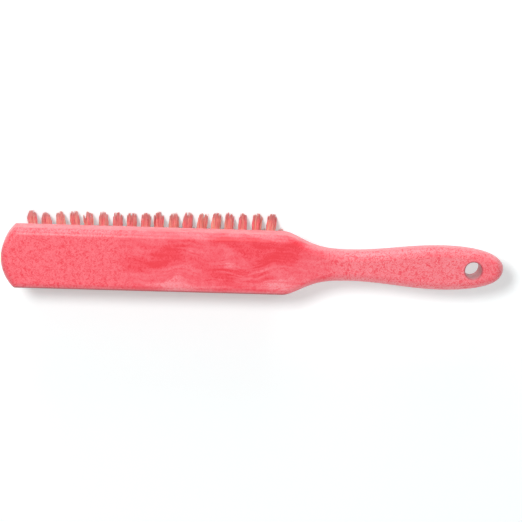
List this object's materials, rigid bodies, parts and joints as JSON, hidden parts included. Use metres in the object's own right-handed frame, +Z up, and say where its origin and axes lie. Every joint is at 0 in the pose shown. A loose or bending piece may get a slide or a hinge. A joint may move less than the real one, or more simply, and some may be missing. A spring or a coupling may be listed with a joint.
{
  "type": "neck duster brush",
  "caption": "Long flat-backed neck duster brush with a waisted handle, a hanging hole and leaning bristle tufts on its underside.",
  "frame": {"origin": "on the plane of the bristle tips, under the middle of the brush's length and width", "axes": "+X along the brush from the block's bowed end towards the handle's tip, +Z up from the bristle tips through the smooth back, +Y across the brush"},
  "size_m": [0.25, 0.0344, 0.042],
  "materials": {
    "body_plastic": "coral pink moulded plastic, semi-matt, with faint flow marks",
    "bristle": "coral synthetic filament, slightly translucent",
    "anchor_wire": "flat steel staple wire"
  },
  "bodies": {
    "root": {"body": "body_plastic", "tufts_rank_01": "bristle", "tufts_rank_02": "bristle", "tufts_rank_03": "bristle", "tufts_rank_04": "bristle", "tufts_rank_05": "bristle", "tufts_rank_06": "bristle", "tufts_rank_07": "bristle", "tufts_rank_08": "bristle", "tufts_rank_09": "bristle", "tufts_rank_10": "bristle", "tufts_rank_11": "bristle", "tufts_rank_12": "bristle", "tufts_rank_13": "bristle", "tufts_rank_14": "bristle", "tufts_rank_15": "bristle", "tufts_rank_16": "bristle", "tufts_rank_17": "bristle", "tufts_rank_18": "bristle", "tufts_rank_19": "bristle", "anchors_rank_01": "anchor_wire", "anchors_rank_02": "anchor_wire", "anchors_rank_03": "anchor_wire", "anchors_rank_04": "anchor_wire", "anchors_rank_05": "anchor_wire", "anchors_rank_06": "anchor_wire", "anchors_rank_07": "anchor_wire", "anchors_rank_08": "anchor_wire", "anchors_rank_09": "anchor_wire", "anchors_rank_10": "anchor_wire", "anchors_rank_11": "anchor_wire", "anchors_rank_12": "anchor_wire", "anchors_rank_13": "anchor_wire", "anchors_rank_14": "anchor_wire", "anchors_rank_15": "anchor_wire", "anchors_rank_16": "anchor_wire", "anchors_rank_17": "anchor_wire", "anchors_rank_18": "anchor_wire", "anchors_rank_19": "anchor_wire"}
  },
  "joints": []
}
